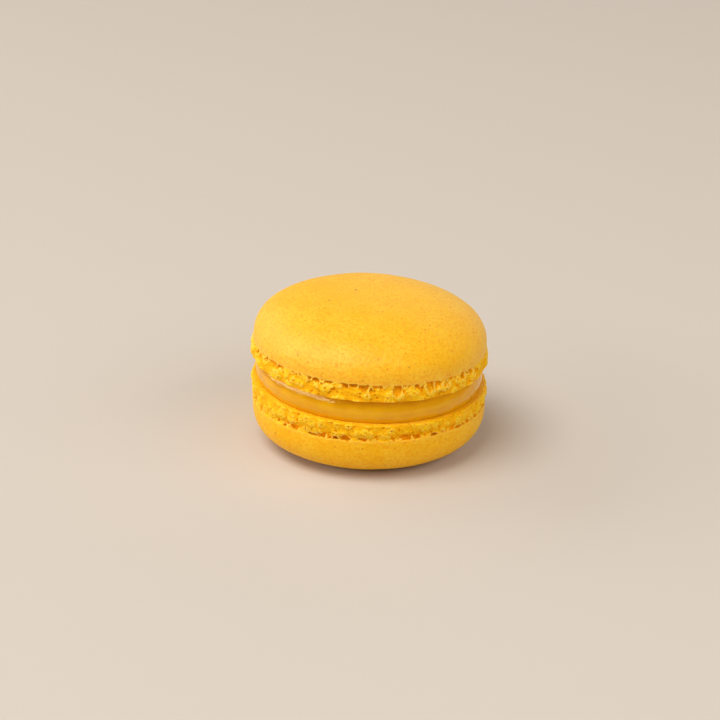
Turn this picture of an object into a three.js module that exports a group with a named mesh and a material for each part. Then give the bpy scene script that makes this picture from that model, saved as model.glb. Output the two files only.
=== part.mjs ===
// A french macaron: two domed almond-meringue shells with a ruffled foot, sandwiching one layer of filling.
// Units are millimetres, +Z is up, and the origin is the middle of the small flat spot that it rests on.

import * as THREE from "three";
import { mergeVertices } from "three/addons/utils/BufferGeometryUtils.js";

const { degToRad, lerp, smoothstep } = THREE.MathUtils;

// Driving dimensions. The top foot is the widest part, so the biscuit is 48 mm across.
const TOP = {
  footRadius: 24,
  footHeight: 3.6,
  capRadius: 23.5,
  capHeight: 9.3,
  roundness: 2.5, // exponent of the dome's curve: 2 is an ellipse, more is a fuller shoulder
  restRadius: 0,
};
const BOTTOM = {
  footRadius: 23.9,
  footHeight: 4.5,
  capRadius: 23.65,
  capHeight: 8.7,
  roundness: 3,
  restRadius: 7.5, // flat spot that it stands on
};

const FILLING_BOTTOM_RADIUS = 22.5;
const FILLING_TOP_RADIUS = 21.9;
const FILLING_BULGE = 0.75; // how far its side is squeezed out past those
const FILLING_THICKNESS = 4.7; // from shell to shell, the two gaps included
const GAP = 0.12; // air between the filling and each shell

// The shells aren't level: the lower foot rose unevenly, and the top shell sits a little askew.
const TOP_SHELL_LEAN = lean(2, 0.5);
const LOWER_FACE_LEAN = lean(1.85, 1);
const LOWER_RIM_LEAN = lean(0.3, -1);
const LEVEL = lean(0, 0);

// Foot section.
const LIP_ROUNDING = 0.4; // radius of the edge that meets the filling
const FOOT_TAPER = 0.6; // how far the crumb falls back on its way up to the cap's rim
const TAPER_START = 0.4; // share of the foot's height where that begins
const RIM_THICKNESS = 0.3; // the cap's skin, seen as a thin edge that overhangs the crumb
const RIM_SETBACK = 0.1; // how far the underside of that edge lies inside the cap's radius
const RUFFLE_DEPTH = 0.4; // unevenness of the crumb
const LIP_RUFFLES = 0.3; // share of it that the lip and both ends of the crumb get
const RUFFLE_WAVES = [
  { count: 9, lean: 2.5, size: 0.35 },
  { count: 16, lean: -4, size: 0.3 },
  { count: 23, lean: 6, size: 0.35 },
];

const COLUMNS = 76; // facets round the biscuit
const LIP_STEPS = 3;
const FOOT_STEPS = 8;
const CAP_STEPS = 12;
const SIDE_STEPS = 6; // up the side of the filling
const INNER_RING = 0.6; // share of the foot's radius where the inner face has a ring of points

const SHELL_MATERIAL = { color: 0xf9bd2c, roughness: 0.62, metalness: 0 };
const FILLING_MATERIAL = { color: 0xd99a22, roughness: 0.28, metalness: 0 };

// A plane that leans by these degrees down to the right and down to the front, as its rise per millimetre.
function lean(rightDown, frontDown) {
  return { right: -Math.tan(degToRad(rightDown)), back: Math.tan(degToRad(frontDown)) };
}

// Height of a leaning plane above its own centre.
function planeHeight({ right, back }, x, y) {
  return right * x + back * y;
}

// Uneven, seamless waves round the foot, between -1 and 1. `climb` is the share of its height.
function ruffle(angle, climb, seed) {
  return RUFFLE_WAVES.reduce(
    (sum, wave) => sum + wave.size * Math.sin(wave.count * angle + wave.lean * climb + seed * wave.count),
    0,
  );
}

// The rounded edge between the flat inner face and the crumb.
function lipSection({ footRadius }) {
  return Array.from({ length: LIP_STEPS }, (_, step) => {
    const turn = ((step + 0.5) / LIP_STEPS) * (Math.PI / 2);
    return {
      r: footRadius - LIP_ROUNDING * (1 - Math.sin(turn)),
      z: LIP_ROUNDING * (1 - Math.cos(turn)),
      ruffles: LIP_RUFFLES,
      face: 1,
    };
  });
}

// The ruffled crumb, straight up from the lip and then falling back under the cap.
function crumbSection({ footRadius, footHeight }) {
  return Array.from({ length: FOOT_STEPS + 1 }, (_, step) => {
    const climb = step / FOOT_STEPS;
    return {
      r: footRadius - FOOT_TAPER * smoothstep(climb, TAPER_START, 1),
      z: lerp(LIP_ROUNDING, footHeight - RIM_THICKNESS, climb),
      ruffles: lerp(LIP_RUFFLES, 1, Math.sin(Math.PI * climb)),
      face: 1 - climb,
      rim: climb,
      climb,
    };
  });
}

// The smooth dome, from its rim to its middle or to the edge of its flat spot.
function capSection({ footHeight, capRadius, capHeight, roundness, restRadius }) {
  const power = 2 / roundness;
  return Array.from({ length: CAP_STEPS + 1 }, (_, step) => {
    const turn = (step / CAP_STEPS) * (Math.PI / 2);
    const reach = step < CAP_STEPS ? Math.cos(turn) ** power : 0;
    const rise = Math.sin(turn) ** power;
    return {
      r: lerp(restRadius, capRadius, reach),
      z: footHeight + capHeight * rise,
      rim: 1 - rise,
    };
  });
}

// Half of a shell's section, from the middle of its flat inner face to the top of the dome. Each point has a
// radius and a height, how much it ruffles, and how much it follows the leans of the inner face and the rim.
function shellSection(sizes) {
  const { footRadius, footHeight, capRadius, capHeight, restRadius } = sizes;
  const middle = [
    { r: 0, z: 0, face: 1 },
    { r: footRadius * INNER_RING, z: 0, face: 1 },
  ];
  const edge = { r: capRadius - RIM_SETBACK, z: footHeight - RIM_THICKNESS + RIM_SETBACK, rim: 1 };
  const section = [...middle, ...lipSection(sizes), ...crumbSection(sizes), edge, ...capSection(sizes)];
  if (restRadius > 0) section.push({ r: 0, z: footHeight + capHeight });
  return section.map((point) => ({ ruffles: 0, face: 0, rim: 0, climb: 0, ...point }));
}

// A closed surface from rows of points, each row a ring that may shrink to a single point at either end.
function skin(rows) {
  const triangles = [];
  for (let row = 0; row + 1 < rows.length; row++) {
    for (let column = 0; column < COLUMNS; column++) {
      const next = (column + 1) % COLUMNS;
      const [a, b] = [row * COLUMNS + column, row * COLUMNS + next];
      const [c, d] = [a + COLUMNS, b + COLUMNS];
      if (row > 0) triangles.push(a, b, d);
      if (row < rows.length - 2) triangles.push(a, d, c);
    }
  }
  const geometry = new THREE.BufferGeometry();
  geometry.setAttribute("position", new THREE.Float32BufferAttribute(rows.flat(2), 3));
  geometry.setIndex(triangles);
  const closed = mergeVertices(geometry, 1e-4);
  closed.computeVertexNormals();
  return closed;
}

// One ring of points at each point of a section. `place` turns a section's point and an angle into a point.
function ringsOf(section, place) {
  return section.map((point) =>
    Array.from({ length: COLUMNS }, (_, column) => place(point, (column / COLUMNS) * Math.PI * 2)),
  );
}

// A shell standing on its inner face, dome up.
function shellGeometry(sizes, { faceLean, rimLean, seed }) {
  const rows = ringsOf(shellSection(sizes), (point, angle) => {
    const inward = point.ruffles * (1 - ruffle(angle, point.climb, seed)) * (RUFFLE_DEPTH / 2);
    const radius = point.r - inward;
    const [x, y] = [radius * Math.cos(angle), radius * Math.sin(angle)];
    const rise = point.face * planeHeight(faceLean, x, y) + point.rim * planeHeight(rimLean, x, y);
    return [x, y, point.z + rise];
  });
  return skin(rows);
}

// The filling: a disc with a bulging side, between the leaning planes of the two inner faces.
function fillingGeometry() {
  const side = Array.from({ length: SIDE_STEPS + 1 }, (_, step) => {
    const share = step / SIDE_STEPS;
    const straight = lerp(FILLING_BOTTOM_RADIUS, FILLING_TOP_RADIUS, share);
    return { r: straight + FILLING_BULGE * Math.sin(Math.PI * share), share };
  });
  const section = [{ r: 0, share: 0 }, ...side, { r: 0, share: 1 }];
  const rows = ringsOf(section, ({ r, share }, angle) => {
    const [x, y] = [r * Math.cos(angle), r * Math.sin(angle)];
    const low = planeHeight(LOWER_FACE_LEAN, x, y) + GAP;
    const high = FILLING_THICKNESS + planeHeight(TOP_SHELL_LEAN, x, y) - GAP;
    return [x, y, lerp(low, high, share)];
  });
  return skin(rows);
}

function namedMesh(name, geometry, material) {
  const mesh = new THREE.Mesh(geometry, new THREE.MeshStandardMaterial(material));
  mesh.name = name;
  return mesh;
}

// A lean as it is seen from a frame that has been turned over about its X axis.
function turnedOver({ right, back }) {
  return { right: -right, back };
}

const SEAT_HEIGHT = BOTTOM.capHeight + BOTTOM.footHeight; // where the filling starts

// The bottom shell lies dome down, so it is modelled with its leans turned over.
function bottomShell() {
  const geometry = shellGeometry(BOTTOM, {
    faceLean: turnedOver(LOWER_FACE_LEAN),
    rimLean: turnedOver(LOWER_RIM_LEAN),
    seed: 2.4,
  });
  const mesh = namedMesh("bottom_shell", geometry, SHELL_MATERIAL);
  mesh.rotation.x = Math.PI;
  mesh.position.z = SEAT_HEIGHT;
  return mesh;
}

function filling() {
  const mesh = namedMesh("filling", fillingGeometry(), FILLING_MATERIAL);
  mesh.position.z = SEAT_HEIGHT;
  return mesh;
}

function topShell() {
  const geometry = shellGeometry(TOP, { faceLean: LEVEL, rimLean: LEVEL, seed: 0.7 });
  const mesh = namedMesh("top_shell", geometry, SHELL_MATERIAL);
  mesh.rotation.set(Math.atan(TOP_SHELL_LEAN.back), -Math.atan(TOP_SHELL_LEAN.right), 0);
  mesh.position.z = SEAT_HEIGHT + FILLING_THICKNESS;
  return mesh;
}

const macaron = new THREE.Group();
macaron.add(bottomShell(), filling(), topShell());

// The leaning top shell shifts the outline a little, so the whole is centred over the origin again.
const middle = new THREE.Box3().setFromObject(macaron, true).getCenter(new THREE.Vector3());
macaron.position.set(-middle.x, -middle.y, 0);

export default macaron;
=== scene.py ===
"""A french macaron: two golden almond-meringue shells with porous, ruffled feet around glossy cream."""

import math

import bpy
import numpy as np
from mathutils import Matrix, Quaternion, Vector


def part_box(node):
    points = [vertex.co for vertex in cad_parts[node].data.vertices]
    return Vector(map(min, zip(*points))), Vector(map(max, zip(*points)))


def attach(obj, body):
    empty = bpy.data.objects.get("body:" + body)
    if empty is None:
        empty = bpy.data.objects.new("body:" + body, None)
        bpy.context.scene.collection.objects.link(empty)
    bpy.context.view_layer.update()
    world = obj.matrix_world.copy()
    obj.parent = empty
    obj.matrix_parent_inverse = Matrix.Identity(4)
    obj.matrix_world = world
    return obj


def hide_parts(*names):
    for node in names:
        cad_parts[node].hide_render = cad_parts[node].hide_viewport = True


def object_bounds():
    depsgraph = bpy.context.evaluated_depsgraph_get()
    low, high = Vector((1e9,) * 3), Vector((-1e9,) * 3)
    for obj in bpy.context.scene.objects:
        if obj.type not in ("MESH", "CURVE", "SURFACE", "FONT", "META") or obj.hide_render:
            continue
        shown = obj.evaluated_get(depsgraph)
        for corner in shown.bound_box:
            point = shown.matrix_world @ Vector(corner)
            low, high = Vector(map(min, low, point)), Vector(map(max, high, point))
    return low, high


bl_info = {
    "name": "French Macaron",
    "version": (1, 0, 0),
    "blender": (4, 5, 0),
    "location": "3D View > Sidebar > Macaron",
    "description": "Bakes a filled macaron with smooth caps, porous feet and glossy cream",
    "category": "Add Mesh",
}

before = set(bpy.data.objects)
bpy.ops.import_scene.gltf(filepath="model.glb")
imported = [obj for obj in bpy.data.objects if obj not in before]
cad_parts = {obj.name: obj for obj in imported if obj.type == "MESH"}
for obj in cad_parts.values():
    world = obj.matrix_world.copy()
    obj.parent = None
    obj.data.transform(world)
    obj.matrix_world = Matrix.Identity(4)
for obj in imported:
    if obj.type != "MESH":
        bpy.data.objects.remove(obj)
CAD_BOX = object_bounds()
MM = 0.001
BODY = "root"


def node_middle(node):
    low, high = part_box(node)
    return (low + high) / 2


def lean(right_down, front_down):
    """Rise per metre to the right and to the back of a plane that leans by these angles."""
    return -math.tan(right_down), math.tan(front_down)


def plane_height(slope, x, y):
    return slope[0] * x + slope[1] * y


# Settings


def length(name, description, default):
    return bpy.props.FloatProperty(
        name=name, description=description, default=default, unit="LENGTH", subtype="DISTANCE", precision=5
    )


def angle(name, description, degrees):
    return bpy.props.FloatProperty(
        name=name, description=description, default=math.radians(degrees), unit="ROTATION", subtype="ANGLE"
    )


def colour(name, description, default):
    return bpy.props.FloatVectorProperty(
        name=name, description=description, default=default, subtype="COLOR", size=3, min=0, max=1
    )


def amount(name, description, default):
    return bpy.props.FloatProperty(name=name, description=description, default=default)


class MacaronShellSettings(bpy.types.PropertyGroup):
    """Sizes and colours of the two meringue shells."""

    top_foot_radius: length("Top foot radius", "Widest radius of the upper foot", 24 * MM)
    top_foot_height: length("Top foot height", "Height of the upper foot", 3.6 * MM)
    top_cap_radius: length("Top cap radius", "Radius of the upper cap at its rim", 23.5 * MM)
    top_cap_height: length("Top cap height", "Height of the upper dome over its rim", 9.3 * MM)
    top_roundness: amount("Top roundness", "Exponent of the upper dome's curve, 2 being an ellipse", 2.5)
    bottom_foot_radius: length("Bottom foot radius", "Widest radius of the lower foot", 23.9 * MM)
    bottom_foot_height: length("Bottom foot height", "Height of the lower foot", 4.5 * MM)
    bottom_cap_radius: length("Bottom cap radius", "Radius of the lower cap at its rim", 23.65 * MM)
    bottom_cap_height: length("Bottom cap height", "Depth of the lower dome under its rim", 8.7 * MM)
    bottom_roundness: amount("Bottom roundness", "Exponent of the lower dome's curve", 3.0)
    rest_radius: length("Rest radius", "Flat spot that the lower dome stands on", 7.5 * MM)
    lip_rounding: length("Lip rounding", "Radius of the edge next to the cream", 0.4 * MM)
    foot_taper: length("Foot taper", "How far the crumb falls back towards the cap", 0.5 * MM)
    rim_thickness: length("Rim thickness", "Thickness of the cap's overhanging skin", 0.25 * MM)
    top_lean_right: angle("Top lean, right", "How far the top shell leans down to the right", 2.0)
    top_lean_front: angle("Top lean, front", "How far the top shell leans down to the front", 0.5)
    face_lean_right: angle(
        "Foot lean, right", "How far the lower foot's face leans down to the right", 1.85
    )
    face_lean_front: angle("Foot lean, front", "How far the lower foot's face leans down to the front", 1.0)
    rim_lean_right: angle("Rim lean, right", "How far the lower cap's rim leans down to the right", 0.3)
    rim_lean_front: angle("Rim lean, front", "How far the lower cap's rim leans down to the front", -1.0)
    cap_colour: colour("Cap colour", "Golden skin of the caps", (0.97, 0.49, 0.003))
    crumb_colour: colour("Crumb colour", "Body of the feet", (1.0, 0.555, 0.005))
    # Painted highlight: the pale glints that light catches on the crests of the feet and along the rims of
    # the caps
    crest_highlight_colour: colour("Crest colour", "Pale crests of the feet and rims of the caps", (1.0, 0.635, 0.1))
    # Painted shade: the deep orange that the feet's pits take on where light reaches them only through the
    # meringue
    pore_shade_colour: colour("Pore colour", "Pits of the feet", (0.95, 0.42, 0.001))
    # Painted shade: the darker orange inside the deep cavities under the caps
    cavity_shade_colour: colour("Cavity colour", "Deep cavities under the caps", (0.86, 0.4, 0.004))
    speck_colour: colour("Speck colour", "Orange specks on the caps", (0.8, 0.25, 0.001))
    toast_colour: colour("Toast colour", "Few toasted specks on the caps", (0.42, 0.10, 0.002))


class MacaronCreamSettings(bpy.types.PropertyGroup):
    """Sizes and colour of the filling."""

    bottom_radius: length("Bottom radius", "Radius where the cream meets the lower shell", 22.5 * MM)
    top_radius: length("Top radius", "Radius where the cream meets the upper shell", 21.9 * MM)
    bulge: length("Bulge", "How far its side is squeezed out", 0.75 * MM)
    crease: length("Crease", "How far its edges round inwards at the shells", 0.14 * MM)
    thickness: length("Thickness", "Distance between the shells", 4.7 * MM)
    tuck: length("Tuck", "How far the cream presses into each shell", 0.05 * MM)
    cream_colour: colour("Cream colour", "Tan yellow of the cream", (0.82, 0.405, 0.002))


class MacaronStageSettings(bpy.types.PropertyGroup):
    """The floor, the lights and the camera."""

    camera_elevation: angle("Camera elevation", "Angle of view above the floor", 23.0)
    camera_roll: angle("Camera roll", "Turn of the camera about its line of sight", 1.0)
    camera_distance: length("Camera distance", "From the camera to the biscuit", 420 * MM)
    lens: amount("Lens", "Focal length in millimetres on a 36 mm sensor", 103.7)
    aim_left: length("Aim left", "How far left of the biscuit the camera aims", 1.87 * MM)
    aim_up: length("Aim up", "How far above the biscuit the camera aims", 0.49 * MM)
    floor_colour: colour("Floor colour", "Pale warm floor", (0.605, 0.54, 0.475))
    key_power: amount("Key power", "Watts of the softbox over the left front", 18.4)
    side_power: amount("Side power", "Watts of the long thin strip on the left", 12.0)
    low_power: amount("Low power", "Watts of the softbox behind on the left", 7.0)
    fill_power: amount("Fill power", "Watts of the wide softbox on the right, which isn't mirrored", 13.6)
    back_power: amount("Back power", "Watts of the low softbox behind", 4.0)
    sky_colour: colour("Sky colour", "Warm tint of the surroundings", (1.0, 0.8, 0.5))
    sky_strength: amount("Sky strength", "Brightness of the surroundings", 0.17)


# Node trees


class Wiring:
    """Short names for the nodes that shader and geometry trees are wired from."""

    def __init__(self, tree):
        self.tree = tree

    def node(self, kind, **settings):
        made = self.tree.nodes.new(kind)
        for name, value in settings.items():
            setattr(made, name, value)
        return made

    def feed(self, socket, value):
        if isinstance(value, bpy.types.NodeSocket):
            self.tree.links.new(value, socket)
        else:
            socket.default_value = value

    def math(self, operation, *values):
        made = self.node("ShaderNodeMath", operation=operation)
        for socket, value in zip(made.inputs, values):
            self.feed(socket, value)
        return made.outputs[0]

    def add(self, *values):
        total = values[0]
        for value in values[1:]:
            total = self.math("ADD", total, value)
        return total

    def times(self, *values):
        total = values[0]
        for value in values[1:]:
            total = self.math("MULTIPLY", total, value)
        return total

    def vector(self, operation, *values):
        made = self.node("ShaderNodeVectorMath", operation=operation)
        for socket, value in zip(made.inputs, values):
            self.feed(socket, value)
        return made.outputs[0]

    def scaled(self, vector, factor):
        made = self.node("ShaderNodeVectorMath", operation="SCALE")
        self.feed(made.inputs[0], vector)
        self.feed(made.inputs["Scale"], factor)
        return made.outputs[0]

    def ramp(self, value, low, high):
        """Smoothly from 0 at low to 1 at high. Low may be the larger of the two."""
        made = self.node("ShaderNodeMapRange", interpolation_type="SMOOTHSTEP")
        self.feed(made.inputs["Value"], value)
        self.feed(made.inputs["From Min"], low)
        self.feed(made.inputs["From Max"], high)
        return made.outputs["Result"]

    def span(self, share, low, high):
        """From low to high as the share goes from 0 to 1."""
        return self.math("MULTIPLY_ADD", share, high - low, low)

    def noise(self, position, grain, detail=2.0, roughness=0.5):
        """Noise from 0 to 1 whose lumps are about as wide as grain."""
        made = self.node("ShaderNodeTexNoise")
        self.feed(made.inputs["Vector"], position)
        self.feed(made.inputs["Scale"], 1 / grain)
        self.feed(made.inputs["Detail"], detail)
        self.feed(made.inputs["Roughness"], roughness)
        return made

    def swing(self, position, grain, detail=2.0, roughness=0.5, middle=0.5):
        """The same noise, above and below zero."""
        return self.math("SUBTRACT", self.noise(position, grain, detail, roughness).outputs["Fac"], middle)

    def cells(self, position, spacing, feature="F1"):
        """Cells as wide as spacing, each with a random colour. Distances are shares of the spacing."""
        made = self.node("ShaderNodeTexVoronoi", feature=feature)
        self.feed(made.inputs["Vector"], position)
        self.feed(made.inputs["Scale"], 1 / spacing)
        return made

    def split(self, vector):
        made = self.node("ShaderNodeSeparateXYZ")
        self.feed(made.inputs[0], vector)
        return made.outputs

    def joined(self, x, y, z):
        made = self.node("ShaderNodeCombineXYZ")
        for socket, value in zip(made.inputs, (x, y, z)):
            self.feed(socket, value)
        return made.outputs[0]


class ShaderWiring(Wiring):
    """A material's tree, with its Principled shader."""

    def __init__(self, material):
        material.use_nodes = True
        super().__init__(material.node_tree)
        self.shader = material.node_tree.nodes["Principled BSDF"]
        self.position = self.node("ShaderNodeTexCoord").outputs["Object"]

    def set(self, **values):
        for name, value in values.items():
            self.feed(self.shader.inputs[name.replace("_", " ")], value)

    def attribute(self, name):
        return self.node("ShaderNodeAttribute", attribute_name=name).outputs["Fac"]

    def mix(self, share, first, second):
        made = self.node("ShaderNodeMix", data_type="RGBA")
        self.feed(made.inputs["Factor"], share)
        for socket, value in zip((made.inputs["A"], made.inputs["B"]), (first, second)):
            self.feed_colour(made, socket.name, value)
        return made.outputs[2]

    def feed_colour(self, mix, name, value):
        socket = [s for s in mix.inputs if s.name == name and s.type == "RGBA"][0]
        self.feed(socket, value if isinstance(value, bpy.types.NodeSocket) else (*value, 1))

    def bump(self, height, distance, strength):
        made = self.node("ShaderNodeBump")
        self.feed(made.inputs["Height"], height)
        self.feed(made.inputs["Distance"], distance)
        self.feed(made.inputs["Strength"], strength)
        return made.outputs["Normal"]


class GeometryWiring(Wiring):
    """A geometry tree with named inputs, a geometry in and a geometry out."""

    def __init__(self, name):
        super().__init__(bpy.data.node_groups.new(name, "GeometryNodeTree"))
        self.tree.interface.new_socket(name="Geometry", in_out="INPUT", socket_type="NodeSocketGeometry")
        self.tree.interface.new_socket(name="Geometry", in_out="OUTPUT", socket_type="NodeSocketGeometry")
        self.values = {}
        self.materials = []
        self.source = self.node("NodeGroupInput")
        self.position = self.node("GeometryNodeInputPosition").outputs[0]

    def input(self, name, value, kind="NodeSocketFloat"):
        socket = self.tree.interface.new_socket(name=name, in_out="INPUT", socket_type=kind)
        self.values[socket.identifier] = value
        return self.source.outputs[name]

    def outward(self):
        """The level direction away from the axis."""
        x, y, _ = self.split(self.position)
        return self.vector("NORMALIZE", self.joined(x, y, 0.0))

    def raised(self, shift):
        """Where noise is read: a seed raises it, so that each piece has its own."""
        return self.vector("ADD", self.position, self.joined(0.0, 0.0, shift))

    def attribute(self, name):
        made = self.node("GeometryNodeInputNamedAttribute", data_type="FLOAT")
        made.inputs["Name"].default_value = name
        return made.outputs["Attribute"]

    def store(self, geometry, name, value):
        made = self.node("GeometryNodeStoreNamedAttribute", data_type="FLOAT", domain="POINT")
        self.feed(made.inputs["Geometry"], geometry)
        made.inputs["Name"].default_value = name
        self.feed(made.inputs["Value"], value)
        return made.outputs["Geometry"]

    def blurred(self, value, iterations):
        made = self.node("GeometryNodeBlurAttribute", data_type="FLOAT")
        self.feed(made.inputs["Value"], value)
        made.inputs["Iterations"].default_value = iterations
        return made.outputs["Value"]

    def moved(self, geometry, offset):
        made = self.node("GeometryNodeSetPosition")
        self.feed(made.inputs["Geometry"], geometry)
        self.feed(made.inputs["Offset"], offset)
        return made.outputs["Geometry"]

    def coated(self, geometry, name, selection):
        """Gives the selected faces a material that is a named input."""
        socket = self.tree.interface.new_socket(
            name=name, in_out="INPUT", socket_type="NodeSocketMaterial"
        )
        self.materials.append(socket.identifier)
        coat = self.node("GeometryNodeSetMaterial")
        self.feed(coat.inputs["Geometry"], geometry)
        self.feed(coat.inputs["Selection"], selection)
        self.feed(coat.inputs["Material"], self.source.outputs[name])
        return coat.outputs["Geometry"]

    def finish(self, geometry, **selections):
        """Ends the tree in Realize Instances and Set Material, with another of those for each selection."""
        realize = self.node("GeometryNodeRealizeInstances")
        self.feed(realize.inputs["Geometry"], geometry)
        shape = self.coated(realize.outputs["Geometry"], "Material", True)
        for name, selection in selections.items():
            shape = self.coated(shape, name.replace("_", " "), selection)
        out = self.node("NodeGroupOutput")
        self.feed(out.inputs["Geometry"], shape)

    def applied(self, raw, name, *materials):
        """A plain mesh object: what this tree makes of the raw mesh."""
        holder = bpy.data.objects.new(name + "_raw", raw)
        bpy.context.scene.collection.objects.link(holder)
        modifier = holder.modifiers.new("Relief", "NODES")
        modifier.node_group = self.tree
        for identifier, value in self.values.items():
            modifier[identifier] = value
        for identifier, material in zip(self.materials, materials):
            modifier[identifier] = material
        depsgraph = bpy.context.evaluated_depsgraph_get()
        mesh = bpy.data.meshes.new_from_object(holder.evaluated_get(depsgraph), depsgraph=depsgraph)
        holder.modifiers.remove(modifier)
        bpy.data.objects.remove(holder)
        bpy.data.meshes.remove(raw)
        mesh.name = name
        made = bpy.data.objects.new(name, mesh)
        bpy.context.scene.collection.objects.link(made)
        return made


# Skins of revolution


class Rows:
    """The rings that a closed round skin is made of, from pole to pole."""

    def __init__(self):
        self.rings = []

    def ring(self, r, z, columns, **marks):
        self.rings.append((r, z, columns, marks))

    def mesh(self, name, lift=None):
        """Joins the rings, which may double or halve their columns. lift(x, y, marks) raises a point."""
        marks = sorted({mark for ring in self.rings for mark in ring[3]})
        points, values, starts = [], {mark: [] for mark in marks}, []
        total = 0
        for r, z, columns, ring_marks in self.rings:
            turn = np.arange(columns) / columns * 2 * math.pi
            x, y = r * np.cos(turn), r * np.sin(turn)
            height = z + (lift(x, y, ring_marks) if lift else 0 * x)
            points.append(np.stack([x, y, height], 1))
            starts.append((total, columns))
            total += columns
            for mark in marks:
                values[mark].append(np.full(columns, ring_marks.get(mark, 0.0)))
        faces = []
        for (low, low_columns), (high, high_columns) in zip(starts, starts[1:]):
            faces += self.band(low, low_columns, high, high_columns)
        mesh = bpy.data.meshes.new(name)
        mesh.from_pydata(np.concatenate(points).tolist(), [], faces)
        for mark in marks:
            attribute = mesh.attributes.new(mark, "FLOAT", "POINT")
            attribute.data.foreach_set("value", np.concatenate(values[mark]).astype(np.float32))
        mesh.polygons.foreach_set("use_smooth", np.ones(len(mesh.polygons), bool))
        mesh.update()
        return mesh

    @staticmethod
    def band(low, low_columns, high, high_columns):
        """The faces between two rings. A ring of one column is a pole."""
        faces = []
        for i in range(max(low_columns, high_columns)):
            j = i + 1
            if low_columns == high_columns:
                n = low_columns
                faces.append((low + i, low + j % n, high + j % n, high + i))
            elif low_columns == 1:
                faces.append((low, high + j % high_columns, high + i))
            elif high_columns == 1:
                faces.append((low + i, low + j % low_columns, high))
            elif low_columns > high_columns:
                a, b = low + i, low + j % low_columns
                c, d = high + i // 2, high + (i // 2 + 1) % high_columns
                faces.append((a, b, c) if i % 2 == 0 else (a, b, d, c))
            else:
                a, b = high + i, high + j % high_columns
                c, d = low + i // 2, low + (i // 2 + 1) % low_columns
                faces.append((b, a, c) if i % 2 == 0 else (b, a, c, d))
        return faces


def smooth(value, low, high):
    share = np.clip((value - low) / (high - low), 0, 1)
    return share * share * (3 - 2 * share)


# Shells

FINE = 1152  # columns round the porous foot, halved on the way to the poles
FEWEST = 9  # columns next to a pole
ROW = 0.12 * MM  # distance between the rows of the foot
CAP_ROW = ROW * 1.2  # the same at the start of the cap
ROW_GROWTH = 1.06  # from each row of the cap to the next
WIDEST_ROW = 0.42 * MM
NARROWEST_FACE = 0.21 * MM
SLIMMEST_FACE = 0.6  # width of the cap's slimmest faces, as a share of their height
CURVE_STEPS = 400  # samples of the dome's curve
FINE_CAP = 0.9 * MM  # how much of the cap has all the columns
FACE_RING_COLUMNS = (9, 18, 36, 72, 144, 144, 288, 288)  # of the hidden rings of the inner face
HIDDEN_RINGS = (0.15, 0.95)  # radii of the first and the last of those, as shares of the hidden part
SHOWN_FACE = 2.4 * MM  # how much of the inner face can be seen round the cream
SHOWN_FACE_ROWS = 15
LIP_ROWS = 6
LIP_CRUMB = 0.4  # share of the crumb's relief where the lip meets the inner face
RIM_SHELF = (0.35, 0.7)  # places of the rings on the rim's underside, from the crumb outwards
SHELF_SMOOTHING = 0.7  # how much of the crumb's relief is gone at the end of that
RIM_ROWS = 4
RIM_ROUNDING = 0.9  # height of the rim's rounded edge, as a share of its thickness
RIM_CRUMB = 0.2  # share of the crumb's relief where that edge starts
TAPER_START = 0.4  # share of the crumb's height where it starts to fall back
CAP_RELIEF_START = 0.6 * MM  # how soon the cap's unevenness reaches its full height
PALE_RIM = 1.2 * MM  # width of the cap's rim, which carries a painted highlight and the torn skin
ROUND_SPOT = (1.3, 2.2)  # where the unevenness starts and is full, in radii of the flat spot
LEAST_SPOT = 0.001 * MM  # stands for the radius of a flat spot on a shell that has none


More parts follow.
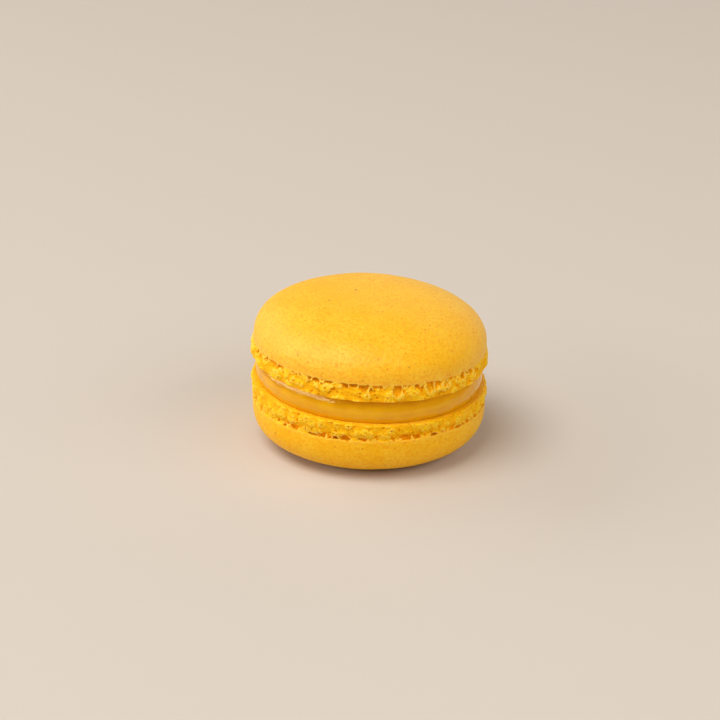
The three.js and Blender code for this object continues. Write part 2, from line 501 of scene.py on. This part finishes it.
class ShellShape:
    """One shell standing on its inner face, dome up."""

    def __init__(self, settings, end, rest_radius=0.0, face_lean=(0, 0), rim_lean=(0, 0)):
        self.foot_radius = getattr(settings, end + "_foot_radius")
        self.foot_height = getattr(settings, end + "_foot_height")
        self.cap_radius = getattr(settings, end + "_cap_radius")
        self.cap_height = getattr(settings, end + "_cap_height")
        self.roundness = getattr(settings, end + "_roundness")
        self.lip = settings.lip_rounding
        self.taper = settings.foot_taper
        self.skin = settings.rim_thickness
        self.rest_radius = rest_radius
        self.leans = {"face_lean": face_lean, "rim_lean": rim_lean}

    def add_inner_face(self, rows):
        """From the middle of the hidden face to the visible edge round the cream."""
        rows.ring(0, 0, 1, face_lean=1)
        edge = self.foot_radius - self.lip
        shown = edge - SHOWN_FACE
        hidden = np.linspace(*HIDDEN_RINGS, len(FACE_RING_COLUMNS)) * shown
        for r, columns in zip(hidden, FACE_RING_COLUMNS):
            rows.ring(r, 0, columns, face_lean=1)
        for r in np.linspace(shown, edge, SHOWN_FACE_ROWS)[:-1]:
            rows.ring(r, 0, FINE // 2, face_lean=1, face=1)

    def add_lip(self, rows):
        """The rounded edge next to the cream."""
        for turn in np.linspace(0, math.pi / 2, LIP_ROWS):
            out = math.sin(turn)
            r = self.foot_radius - self.lip * (1 - out)
            z = self.lip * (1 - math.cos(turn))
            crumb = LIP_CRUMB + (1 - LIP_CRUMB) * out
            rows.ring(r, z, FINE, face_lean=1, face=1 - out, crumb=crumb, under=self.foot_height)

    def add_crumb(self, rows):
        """The side of the foot, which falls back on its way up to the cap."""
        low, high = self.lip, self.foot_height - self.skin
        for climb in np.linspace(0, 1, round((high - low) / ROW))[1:]:
            taper = self.taper * smooth(climb, TAPER_START, 1)
            rows.ring(
                self.foot_radius - taper,
                low + (high - low) * climb,
                FINE,
                face_lean=1 - climb,
                rim_lean=climb,
                crumb=1,
                under=(high - low) * (1 - climb),
            )

    def add_rim(self, rows):
        """The underside and the rounded edge of the cap's skin."""
        inside = self.foot_radius - self.taper
        edge = self.cap_radius
        base = self.foot_height - self.skin
        for share in RIM_SHELF:
            r = inside + (edge - inside) * share
            rows.ring(r, base, FINE, rim_lean=1, crumb=1 - share * SHELF_SMOOTHING, rim=share)
        for turn in np.linspace(0, math.pi / 2, RIM_ROWS):
            out = math.sin(turn)
            z = base + self.skin * (1 - math.cos(turn)) * RIM_ROUNDING
            rows.ring(self.cap_radius, z, FINE, rim_lean=1, rim=1, crumb=RIM_CRUMB * (1 - out))

    def add_cap(self, rows):
        """The dome, in rows that widen and lose columns on their way to the pole."""
        power = 2 / self.roundness
        turn = np.linspace(0, math.pi / 2, CURVE_STEPS)
        rise = np.sin(turn) ** power
        reach = np.clip(np.cos(turn), 0, 1) ** power
        r = self.rest_radius + (self.cap_radius - self.rest_radius) * reach
        curve = np.stack([r, self.foot_height + self.cap_height * rise, 1 - rise], 1)
        if self.rest_radius:
            curve = np.concatenate([curve, [[0, self.foot_height + self.cap_height, 0]]])
        steps = np.linalg.norm(np.diff(curve[:, :2], axis=0), axis=1)
        along = np.concatenate([[0], np.cumsum(steps)])
        level, uneven = (self.rest_radius + LEAST_SPOT) * np.array(ROUND_SPOT)
        place = step = CAP_ROW
        while place < along[-1] - step:
            r, z, leaning = (np.interp(place, along, curve[:, k]) for k in range(3))
            columns = FINE if place < FINE_CAP else FINE // 2
            narrowest = min(NARROWEST_FACE, step * SLIMMEST_FACE)
            while columns > FEWEST and 2 * math.pi * r / columns < narrowest:
                columns //= 2
            rim = max(0.0, 1 - place / PALE_RIM) ** 2
            cap = min(1, place / CAP_RELIEF_START) * smooth(r, level, uneven)
            rows.ring(r, z, columns, rim_lean=leaning, cap=cap, rim=rim)
            step = min(step * ROW_GROWTH, WIDEST_ROW)
            place += step
        rows.ring(0, self.foot_height + self.cap_height, 1, cap=0 if self.rest_radius else 1)

    def raw_mesh(self, name):
        rows = Rows()
        self.add_inner_face(rows)
        self.add_lip(rows)
        self.add_crumb(rows)
        self.add_rim(rows)
        self.add_cap(rows)
        return rows.mesh(name, self.leaning)

    def leaning(self, x, y, marks):
        """How far the leans of the inner face and the rim raise a point."""
        return sum(marks.get(name, 0) * plane_height(slope, x, y) for name, slope in self.leans.items())


# A warp that makes a pattern irregular: how wide its waves are, and how far they push.
LUMP_WARP = (1.5 * MM, 1.4 * MM)
CAVITY_WARP = (1.1 * MM, 1.3 * MM)
PIT_WARP = (0.5 * MM, 0.3 * MM)

LUMP_SIDE = (0.2, 0.85)  # where a lump's side starts and ends, from its middle, in lump sizes
LUMP_SMOOTHNESS = 0.4
LUMP_START = 1.2 * MM  # how far under the rim the gaps between lumps reach their full depth

CAVITY_STRETCH = (1.0, 1.0, 0.5)  # makes cavities twice as tall as they are wide
CAVITY_WALL = (0.05, 0.17)  # where a cavity's side starts and ends, from its border, in cavity sizes
CAVITY_CHOICE = 0.04  # softness of the choice between open and closed ones
CAVITY_HEIGHTS = (0.3, 1.4)  # the least and the most, as shares of the cavity height
CAVITY_ENDS = (0.2, 1.8)  # how ragged their lower ends are, in the same way
CAVITY_END_GRAIN = 0.6 * MM
CAVITY_FULL = 0.6  # share of a cavity's height that has its full depth
CAVITY_DEPTHS = (0.6, 1.1)  # the least and the most, as shares of the cavity depth
CAVITY_BLEND = 0.05 * MM  # how softly cavities and pits run together

PIT_CHOICE = (0.65, 0.55)  # random numbers above which a pit is closed, and below which it is fully open
PIT_RADII = (0.2, 0.45)  # the least and the most, in pit spacings
PIT_FULL = 0.45  # share of a pit's radius that has its full depth
SMALL_PIT_SPACING = 0.62  # as a share of the larger pits'
SMALL_PIT_DEPTH = 0.45

WRINKLE_GRAIN = 0.65 * MM
WRINKLE_WIDTH = 0.07  # how far the noise may lie from its middle on a wrinkle
WRINKLE_PATCH_GRAIN = 0.7 * MM
WRINKLE_PATCHES = (0.38, 0.52)  # noise at which the wrinkled patches start and are full
WRINKLE_FADE = (0.6, 0.2)  # how far down a lump's side the wrinkles are gone, and are full
CRUMB_GRAIN = 0.3 * MM

TORN_GRAIN = 0.8 * MM
TORN_RANGE = (0.48, 0.75)  # noise at which a torn part of the rim starts and is full
SWAY_GRAIN = 11 * MM
DIMPLE_GRAIN = 1.6 * MM
FACE_GRAIN = 0.6 * MM

BLUR_STEPS = 10  # how far the relief is blurred to tell its crests from its hollows
SHALLOW = 0.35 * MM  # a cavity deeper than this is no deeper in the relief that is blurred
CREST_RANGE = (-0.02 * MM, -0.12 * MM)  # how far above its surroundings a crest starts and is full, for the crest mask that carries a painted highlight
GAP_SHADE = 0.6  # how much of the depth of the gaps between lumps counts as painted shade
SUNK_SHADE = 4.0  # and how much of a point's depth below its surroundings
SHADED_RIM = (1.4 * MM, 0.2 * MM)  # how far under the rim the painted shade starts and is full
# strength of the painted shade under the rim, given as a depth
RIM_SHADE_DEPTH = 0.1 * MM
FOOT_START = 0.5  # share of the crumb from which a face has the foot's material


def relief_tree(seed, cavity_size, cavity_height, cavity_share):
    """Opens cavities under the cap's rim, and covers the rest of the foot in a lumpy, pitted crumb."""
    w = GeometryWiring("Baked relief")
    shift = w.input("Seed", seed)
    lump = w.input("Lump size", 2.1 * MM)
    lump_depth = w.input("Lump depth", 0.44 * MM)
    pit = w.input("Pit spacing", 0.72 * MM)
    pit_depth = w.input("Pit depth", 0.42 * MM)
    cavity = w.input("Cavity size", cavity_size)
    cavity_top = w.input("Cavity height", cavity_height)
    open_share = w.input("Open cavities", cavity_share)
    cavity_depth = w.input("Cavity depth", 0.9 * MM)
    wrinkle_height = w.input("Wrinkle height", 0.12 * MM)
    grain_height = w.input("Grain height", 0.22 * MM)
    ragged_edge = w.input("Ragged edge", 0.25 * MM)
    torn_rim = w.input("Torn rim", 0.35 * MM)
    sway_height = w.input("Cap sway", 0.3 * MM)
    dimple_height = w.input("Cap dimples", 0.06 * MM)
    face_height = w.input("Inner face grain", 0.3 * MM)
    crumb, under = w.attribute("crumb"), w.attribute("under")
    rim, cap, face = w.attribute("rim"), w.attribute("cap"), w.attribute("face")

    place = w.raised(shift)

    def bent(grain, push):
        warp = w.vector("SUBTRACT", w.noise(place, grain).outputs["Color"], (0.5, 0.5, 0.5))
        return w.vector("ADD", place, w.scaled(warp, push))

    def sized_cells(position, size, feature="F1"):
        cells = w.cells(position, 1.0, feature)
        w.feed(cells.inputs["Scale"], w.math("DIVIDE", 1.0, size))
        return cells

    lumps = sized_cells(bent(*LUMP_WARP), lump, "SMOOTH_F1")
    lumps.inputs["Smoothness"].default_value = LUMP_SMOOTHNESS
    between_lumps = w.times(w.ramp(lumps.outputs["Distance"], *LUMP_SIDE), w.ramp(under, 0.0, LUMP_START))

    upright = w.vector("MULTIPLY", bent(*CAVITY_WARP), CAVITY_STRETCH)
    columns, walls = sized_cells(upright, cavity), sized_cells(upright, cavity, "DISTANCE_TO_EDGE")
    chance, tallness, deepness = w.split(columns.outputs["Color"])
    reach = w.times(cavity_top, w.span(tallness, *CAVITY_HEIGHTS))
    reach = w.times(reach, w.span(w.noise(place, CAVITY_END_GRAIN).outputs["Fac"], *CAVITY_ENDS))
    cavities = w.times(
        w.ramp(chance, w.add(open_share, CAVITY_CHOICE), w.add(open_share, -CAVITY_CHOICE)),
        w.ramp(walls.outputs["Distance"], *CAVITY_WALL),
        w.ramp(under, reach, w.times(reach, CAVITY_FULL)),
    )

    def pitted(spacing):
        pits = sized_cells(bent(*PIT_WARP), spacing)
        chance, width, _ = w.split(pits.outputs["Color"])
        radius = w.times(w.ramp(chance, *PIT_CHOICE), w.span(width, *PIT_RADII))
        return w.ramp(pits.outputs["Distance"], radius, w.times(radius, PIT_FULL))

    small_pits = w.times(pitted(w.times(pit, SMALL_PIT_SPACING)), SMALL_PIT_DEPTH)
    pits = w.math("MAXIMUM", pitted(pit), small_pits)

    wrinkle = w.swing(place, WRINKLE_GRAIN, 2.0, 0.6)
    patches = w.ramp(w.noise(place, WRINKLE_PATCH_GRAIN, 1.0).outputs["Fac"], *WRINKLE_PATCHES)
    broken = w.times(patches, w.ramp(between_lumps, *WRINKLE_FADE))
    crest = w.times(w.ramp(w.math("ABSOLUTE", wrinkle), WRINKLE_WIDTH, 0.0), broken)
    grain = w.swing(place, CRUMB_GRAIN, 1.0)

    cavity_push = w.times(cavities, cavity_depth, w.span(deepness, *CAVITY_DEPTHS))
    hollow = w.math("SMOOTH_MAX", cavity_push, w.times(pits, pit_depth), CAVITY_BLEND)
    solid = w.math("SUBTRACT", 1.0, cavities)
    depth = w.add(
        w.times(between_lumps, lump_depth),
        hollow,
        w.times(crest, solid, wrinkle_height, -1.0),
        w.times(grain, grain_height),
    )
    depth = w.times(depth, crumb)
    ragged = w.times(cavities, crumb, ragged_edge)

    torn = w.noise(place, TORN_GRAIN, 3.0, 0.6).outputs["Fac"]
    torn = w.times(w.ramp(torn, *TORN_RANGE), rim, torn_rim)
    sway = w.swing(place, SWAY_GRAIN, 1.0)
    dimple = w.swing(place, DIMPLE_GRAIN)
    face_grain = w.swing(place, FACE_GRAIN, 3.0, middle=0.6)
    rise = w.add(
        ragged,
        torn,
        w.times(sway, cap, sway_height),
        w.times(dimple, cap, dimple_height),
        w.times(face_grain, face, w.times(face_height, -1.0)),
    )
    offset = w.vector("ADD", w.scaled(w.outward(), w.times(depth, -1.0)), w.joined(0.0, 0.0, rise))

    # Painted shade under the rim, in the gaps between lumps and in sunken places, added to the depth of the
    # pits and cavities
    shaded = w.times(w.ramp(under, *SHADED_RIM), RIM_SHADE_DEPTH)
    shallow = w.math("MINIMUM", depth, SHALLOW)
    sunk = w.math("SUBTRACT", shallow, w.blurred(shallow, BLUR_STEPS))
    gaps = w.times(between_lumps, lump_depth, GAP_SHADE)
    painted_shade = w.add(hollow, gaps, w.times(sunk, SUNK_SHADE), shaded)
    millimetres = w.math("DIVIDE", painted_shade, MM)
    # Both are stored before the points move, because the noise is read at their places.
    # The hollow mask carries painted shade, and the crest mask carries a painted highlight.
    shape = w.store(w.source.outputs["Geometry"], "hollow", w.times(millimetres, crumb))
    shape = w.store(shape, "crest", w.times(w.ramp(sunk, *CREST_RANGE), solid, crumb))
    w.finish(w.moved(shape, offset), Foot_material=w.math("GREATER_THAN", crumb, FOOT_START))
    return w


PIT_SHADE_TONE = (0.0, 0.45)  # millimetres of depth in the hollow mask over which the crumb turns to the painted shade of the pits
CAVITY_SHADE_TONE = (0.6, 1.2)  # and over which that turns to the painted shade of the deep cavities
CAP_ROUGHNESS = 0.45
FOOT_ROUGHNESS = 0.65
RIM_HIGHLIGHT_RANGE = (0.55, 1.0)  # where the painted highlight on the cap's rim starts and is strongest, 1 being its edge
RIM_HIGHLIGHT_SHARE = 0.25  # share of the crests' highlight colour that it reaches
SKIN_WAVE, SKIN_GRAIN = 0.7 * MM, 0.3 * MM  # sizes of the two parts of the bump
WAVE_STRENGTH = 1.6  # of the first part, as a multiple of the second
SKIN_BUMP = 0.1 * MM
BUMP_STRENGTHS = (1.0, 0.7)  # on the cap and on the foot

CAP_DEEP = (0.975, 0.84, 0.3)  # the cap's deep tone, as shares of its colour
CAP_PALE = (0.02, 0.065, 0.02)  # what its pale tone has more than its colour
CAP_PATCH, CAP_PATCH_RANGE = 5 * MM, (0.3, 0.7)  # size, and noise where pale turns to the cap's colour
CAP_MOTTLE, CAP_MOTTLE_RANGE = 0.55 * MM, (0.46, 0.64)  # the same where that turns to the deep tone
SPECK_CHOICE = 0.1  # softness of the choice between specks and bare cells
SPECK_FULL = 0.5  # share of a speck's radius that has its full tone
SPECK_TONES = (0.3, 1.0)  # the palest and the darkest


def shell_material(settings, name, gloss):
    """Golden meringue: a mottled, speckled cap with a painted highlight on its rim, and a foot with painted
    highlights on its crests and painted orange shade in its pores and cavities.
    """
    material = bpy.data.materials.new(name)
    w = ShaderWiring(material)
    crumb, hollow, crest, rim = (w.attribute(name) for name in ("crumb", "hollow", "crest", "rim"))
    cap = cap_colour(w, settings)
    # Painted highlight on the crests of the crumb
    foot = w.mix(crest, settings.crumb_colour, settings.crest_highlight_colour)
    # Painted shade in the pits and cavities, and wherever the hollow mask also holds shade, between lumps
    # and under the rim
    foot = w.mix(w.ramp(hollow, *PIT_SHADE_TONE), foot, settings.pore_shade_colour)
    foot = w.mix(w.ramp(hollow, *CAVITY_SHADE_TONE), foot, settings.cavity_shade_colour)
    # Painted highlight along the cap's rim
    cap = w.mix(w.times(w.ramp(rim, *RIM_HIGHLIGHT_RANGE), RIM_HIGHLIGHT_SHARE), cap, settings.crest_highlight_colour)
    w.set(
        Base_Color=w.mix(crumb, cap, foot),
        Roughness=w.span(crumb, CAP_ROUGHNESS, FOOT_ROUGHNESS),
        Specular_IOR_Level=gloss,
        Subsurface_Weight=0.4,
        Subsurface_Radius=(1.0, 0.6, 0.15),
        Subsurface_Scale=0.28 * MM,
    )
    wave = w.noise(w.position, SKIN_WAVE).outputs["Fac"]
    grain = w.noise(w.position, SKIN_GRAIN, 3.0, 0.6).outputs["Fac"]
    height = w.add(w.times(wave, WAVE_STRENGTH), grain)
    w.set(Normal=w.bump(height, SKIN_BUMP, w.span(crumb, *BUMP_STRENGTHS)))
    return material


def cap_colour(w, settings):
    """Patches, fine mottling, and a scatter of orange and brown specks."""
    deep = [c * k for c, k in zip(settings.cap_colour, CAP_DEEP)]
    pale = [c + k for c, k in zip(settings.cap_colour, CAP_PALE)]
    patches = w.noise(w.position, CAP_PATCH, 3.0, 0.6).outputs["Fac"]
    mottle = w.noise(w.position, CAP_MOTTLE, 3.0, 0.65).outputs["Fac"]
    cap = w.mix(w.ramp(patches, *CAP_PATCH_RANGE), pale, settings.cap_colour)
    cap = w.mix(w.ramp(mottle, *CAP_MOTTLE_RANGE), cap, deep)
    for spacing, bare_share, least_radius, tone in (
        (0.9 * MM, 0.5, 0.168, settings.speck_colour),
        (2.6 * MM, 0.7, 0.078, settings.toast_colour),
    ):
        specks = w.cells(w.position, spacing)
        chance, wide, dark = w.split(specks.outputs["Color"])
        present = w.ramp(chance, bare_share, bare_share + SPECK_CHOICE)
        radius = w.times(present, w.span(wide, least_radius, 2 * least_radius))
        spot = w.ramp(specks.outputs["Distance"], radius, w.times(radius, SPECK_FULL))
        cap = w.mix(w.times(spot, w.span(dark, *SPECK_TONES)), cap, tone)
    return cap


def turned_over(slope):
    """A plane's slope as it is seen from a frame that is turned over about X."""
    return -slope[0], slope[1]


def placed(piece, matrix, node):
    """Bakes the place into the mesh and centres the piece over its CAD node."""
    piece.data.transform(matrix)
    corners = np.array([v.co[:] for v in piece.data.vertices])
    middle = node_middle(node)
    own = Vector((corners.min(0) + corners.max(0)) / 2)
    piece.data.transform(Matrix.Translation((middle.x - own.x, middle.y - own.y, 0)))
    piece.data.update()


class MACARON_OT_shells(bpy.types.Operator):
    """Make the two meringue shells"""

    bl_idname = "macaron.shells"
    bl_label = "Meringue Shells"

    def execute(self, context):
        s = context.scene.macaron_shells
        cream = context.scene.macaron_cream
        seat = s.bottom_cap_height + s.bottom_foot_height
        face, rim = lean(s.face_lean_right, s.face_lean_front), lean(s.rim_lean_right, s.rim_lean_front)
        lower = ShellShape(s, "bottom", s.rest_radius, turned_over(face), turned_over(rim))
        upper = ShellShape(s, "top")
        turned = Matrix.Translation((0, 0, seat)) @ Matrix.Rotation(math.pi, 4, "X")
        leaning = (
            Matrix.Translation((0, 0, seat + cream.thickness))
            @ Matrix.Rotation(s.top_lean_front, 4, "X")
            @ Matrix.Rotation(s.top_lean_right, 4, "Y")
        )
        foot = shell_material(s, "Meringue foot", gloss=0.12)
        for node, shape, matrix, cap, relief in (
            (
                "bottom_shell",
                lower,
                turned,
                shell_material(s, "Matte meringue cap", gloss=0.15),
                relief_tree(seed=0.31, cavity_size=1.9 * MM, cavity_height=1.2 * MM, cavity_share=0.62),
            ),
            (
                "top_shell",
                upper,
                leaning,
                shell_material(s, "Satin meringue cap", gloss=0.5),
                relief_tree(seed=0.77, cavity_size=1.8 * MM, cavity_height=1.7 * MM, cavity_share=0.75),
            ),
        ):
            piece = relief.applied(shape.raw_mesh(node), node.replace("_", "_meringue_"), cap, foot)
            placed(piece, matrix, node)
            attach(piece, BODY)
            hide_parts(node)
        return {"FINISHED"}


# Cream


CREAM_RING_COLUMNS = (18, 36, 72, 144, 288, 576)  # from the middle of each hidden face outwards
CREAM_RINGS = (0.2, 0.92)  # radii of the first and the last of those, as shares of the top radius
CREAM_SIDE_ROWS = 61
CREASE_REACH = 0.35 * MM  # how far up the side the rounding of its edges reaches
WAVE_GRAIN = 7 * MM
RIPPLE_GRAIN = 0.8 * MM
RIPPLE_STRETCH = (0.35, 0.35, 1.6)  # makes the ripples long and low
CLOUD, CLOUD_RANGE = 3 * MM, (0.3, 0.7)  # size, and noise where the cream turns to its deeper tone
CREAM_DEEPER = (0.95, 0.88, 0.7)  # that tone, as shares of the cream's colour
CREAM_GRAIN = 0.7 * MM
CREAM_BUMP, CREAM_BUMP_STRENGTH = 0.05 * MM, 0.8


def cream_rows(s):
    rows = Rows()
    rings = len(CREAM_RING_COLUMNS)
    rows.ring(0, 0, 1, share=0)
    for r, count in zip(np.linspace(*CREAM_RINGS, rings) * s.top_radius, CREAM_RING_COLUMNS):
        rows.ring(r, 0, count, share=0)
    for turn in np.linspace(0, math.pi, CREAM_SIDE_ROWS):
        share = (1 - math.cos(turn)) / 2
        straight = s.bottom_radius + (s.top_radius - s.bottom_radius) * share
        edge = min(share, 1 - share) * s.thickness
        rounding = s.crease * (1 - smooth(edge, 0, CREASE_REACH)) ** 2
        radius = straight + s.bulge * math.sin(math.pi * share) - rounding
        rows.ring(radius, 0, CREAM_RING_COLUMNS[-1], share=share, side=1)
    for r, count in zip(np.linspace(*CREAM_RINGS[::-1], rings) * s.top_radius, CREAM_RING_COLUMNS[::-1]):
        rows.ring(r, 0, count, share=1)
    rows.ring(0, 0, 1, share=1)
    return rows


def cream_tree(seed):
    """Makes the squeezed-out side of the cream a little uneven."""
    w = GeometryWiring("Spread cream")
    shift = w.input("Seed", seed)
    wave_depth = w.input("Wave depth", 0.22 * MM)
    ripple_depth = w.input("Ripple depth", 0.05 * MM)
    side = w.attribute("side")
    place = w.raised(shift)
    wave = w.swing(place, WAVE_GRAIN)
    ripple = w.swing(w.vector("MULTIPLY", place, RIPPLE_STRETCH), RIPPLE_GRAIN)
    push = w.times(side, w.add(w.times(wave, wave_depth), w.times(ripple, ripple_depth)))
    w.finish(w.moved(w.source.outputs["Geometry"], w.scaled(w.outward(), push)))
    return w


def cream_material(settings):
    """Smooth glossy cream with a faintly uneven skin."""
    material = bpy.data.materials.new("Glossy cream")
    w = ShaderWiring(material)
    clouds = w.noise(w.position, CLOUD).outputs["Fac"]
    deeper = [c * k for c, k in zip(settings.cream_colour, CREAM_DEEPER)]
    grain = w.noise(w.position, CREAM_GRAIN).outputs["Fac"]
    w.set(
        Base_Color=w.mix(w.ramp(clouds, *CLOUD_RANGE), settings.cream_colour, deeper),
        Roughness=0.1,
        Specular_IOR_Level=0.65,
        Specular_Tint=(1.0, 0.92, 0.5, 1),
        Subsurface_Weight=0.3,
        Subsurface_Radius=(1.0, 0.5, 0.1),
        Subsurface_Scale=1 * MM,
        Normal=w.bump(grain, CREAM_BUMP, CREAM_BUMP_STRENGTH),
    )
    return material


class MACARON_OT_cream(bpy.types.Operator):
    """Make the layer of cream between the shells"""

    bl_idname = "macaron.cream"
    bl_label = "Cream"

    def execute(self, context):
        s = context.scene.macaron_cream
        shells = context.scene.macaron_shells
        low = lean(shells.face_lean_right, shells.face_lean_front)
        high = lean(shells.top_lean_right, shells.top_lean_front)

        def between_shells(x, y, marks):
            bottom = plane_height(low, x, y) - s.tuck
            top = s.thickness + plane_height(high, x, y) + s.tuck
            return bottom + (top - bottom) * marks["share"]

        raw = cream_rows(s).mesh("cream", between_shells)
        piece = cream_tree(seed=0.5).applied(raw, "cream_filling", cream_material(s))
        seat = shells.bottom_cap_height + shells.bottom_foot_height
        placed(piece, Matrix.Translation((0, 0, seat)), "filling")
        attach(piece, BODY)
        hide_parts("filling")
        return {"FINISHED"}


# Stage

SOFTBOX_DISTANCE = 1.6
FLOOR_HALF = 3.0  # half the side of the square floor
AIM_HEIGHT = 16 * MM  # what the camera aims at, before aim_left and aim_up move that
SENSOR_WIDTH = 36
CLIP_START, CLIP_END = 0.01, 20


def floor_material(settings):
    material = bpy.data.materials.new("Pale floor")
    w = ShaderWiring(material)
    w.set(Base_Color=(*settings.floor_colour, 1), Roughness=0.75, Specular_IOR_Level=0.25)
    return material


def area_light(name, direction, size, roll, power, target, shines):
    """A softbox that faces the target, turned by its roll about its own axis.

    Its direction is degrees to the right of the front, and degrees above the floor. One that doesn't shine
    lights the biscuit without being mirrored in it.
    """
    data = bpy.data.lights.new(name, "AREA")
    data.shape = "ELLIPSE"
    data.size, data.size_y = size
    data.energy = power
    light = bpy.data.objects.new(name, data)
    azimuth, elevation = (math.radians(a) for a in direction)
    away = Vector((
        math.sin(azimuth) * math.cos(elevation),
        -math.cos(azimuth) * math.cos(elevation),
        math.sin(elevation),
    ))
    light.location = target + away * SOFTBOX_DISTANCE
    facing = away.to_track_quat("Z", "Y") @ Quaternion((0, 0, 1), math.radians(roll))
    light.rotation_euler = facing.to_euler()
    light.visible_glossy = shines
    bpy.context.scene.collection.objects.link(light)


class MACARON_OT_stage(bpy.types.Operator):
    """Make the floor, the lights and the camera"""

    bl_idname = "macaron.stage"
    bl_label = "Stage"

    def execute(self, context):
        s = context.scene.macaron_stage
        low, high = CAD_BOX
        self.floor(s, low.z)
        target = Vector((0, 0, (low.z + high.z) / 2))
        for name, direction, size, roll, power, shines in (
            ("Key", (-50, 62), (1.4, 1.0), 0, s.key_power, True),
            ("Side", (-78, 19.5), (3.0, 0.34), 13, s.side_power, True),
            ("Low", (-125, 28), (1.6, 0.8), 0, s.low_power, True),
            ("Fill", (50, 35), (2.8, 0.9), 0, s.fill_power, False),
            ("Back", (150, 15), (2.4, 1.0), 0, s.back_power, True),
        ):
            area_light(name, direction, size, roll, power, target, shines)
        self.sky(context, s)
        self.camera(context, s, low.z)
        context.scene.view_settings.view_transform = "Standard"
        return {"FINISHED"}

    def floor(self, s, height):
        corners = ((-1, -1), (1, -1), (1, 1), (-1, 1))
        points = [(x * FLOOR_HALF, y * FLOOR_HALF, height) for x, y in corners]
        mesh = bpy.data.meshes.new("Floor")
        mesh.from_pydata(points, [], [(0, 1, 2, 3)])
        mesh.materials.append(floor_material(s))
        floor = bpy.data.objects.new("Floor", mesh)
        bpy.context.scene.collection.objects.link(floor)

    def sky(self, context, s):
        world = bpy.data.worlds.new("Studio")
        world.use_nodes = True
        background = world.node_tree.nodes["Background"]
        background.inputs["Color"].default_value = (*s.sky_colour, 1)
        background.inputs["Strength"].default_value = s.sky_strength
        context.scene.world = world

    def camera(self, context, s, ground):
        data = bpy.data.cameras.new("Camera")
        data.sensor_width = SENSOR_WIDTH
        data.lens = s.lens
        data.clip_start, data.clip_end = CLIP_START, CLIP_END
        camera = bpy.data.objects.new("Camera", data)
        tilt = s.camera_elevation
        back = Vector((0, -math.cos(tilt), math.sin(tilt)))
        level, upright = Vector((1, 0, 0)), Vector((0, math.sin(tilt), math.cos(tilt)))
        right = level * math.cos(s.camera_roll) + upright * math.sin(s.camera_roll)
        up = upright * math.cos(s.camera_roll) - level * math.sin(s.camera_roll)
        aim = Vector((0, 0, ground + AIM_HEIGHT)) - right * s.aim_left + up * s.aim_up
        eye = aim + back * s.camera_distance
        matrix = Matrix((right, up, back)).transposed().to_4x4()
        matrix.translation = eye
        camera.matrix_world = matrix
        context.scene.collection.objects.link(camera)
        context.scene.camera = camera


class MACARON_PT_panel(bpy.types.Panel):
    """Buttons and settings of the macaron"""

    bl_idname = "MACARON_PT_panel"
    bl_label = "Macaron"
    bl_space_type = "VIEW_3D"
    bl_region_type = "UI"
    bl_category = "Macaron"

    def draw(self, context):
        for operator, group in GROUPS:
            box = self.layout.box()
            box.operator(operator)
            settings = getattr(context.scene, group)
            for name in settings.__annotations__:
                box.prop(settings, name)


GROUPS = (
    ("macaron.shells", "macaron_shells"),
    ("macaron.cream", "macaron_cream"),
    ("macaron.stage", "macaron_stage"),
)
CLASSES = (
    MacaronShellSettings,
    MacaronCreamSettings,
    MacaronStageSettings,
    MACARON_OT_shells,
    MACARON_OT_cream,
    MACARON_OT_stage,
    MACARON_PT_panel,
)


def register():
    for cls in CLASSES:
        bpy.utils.register_class(cls)
    bpy.types.Scene.macaron_shells = bpy.props.PointerProperty(type=MacaronShellSettings)
    bpy.types.Scene.macaron_cream = bpy.props.PointerProperty(type=MacaronCreamSettings)
    bpy.types.Scene.macaron_stage = bpy.props.PointerProperty(type=MacaronStageSettings)


def unregister():
    for _, group in GROUPS:
        delattr(bpy.types.Scene, group)
    for cls in reversed(CLASSES):
        bpy.utils.unregister_class(cls)


def main():
    register()
    bpy.ops.macaron.shells()
    bpy.ops.macaron.cream()
    bpy.ops.macaron.stage()


if __name__ == "__main__":
    main()
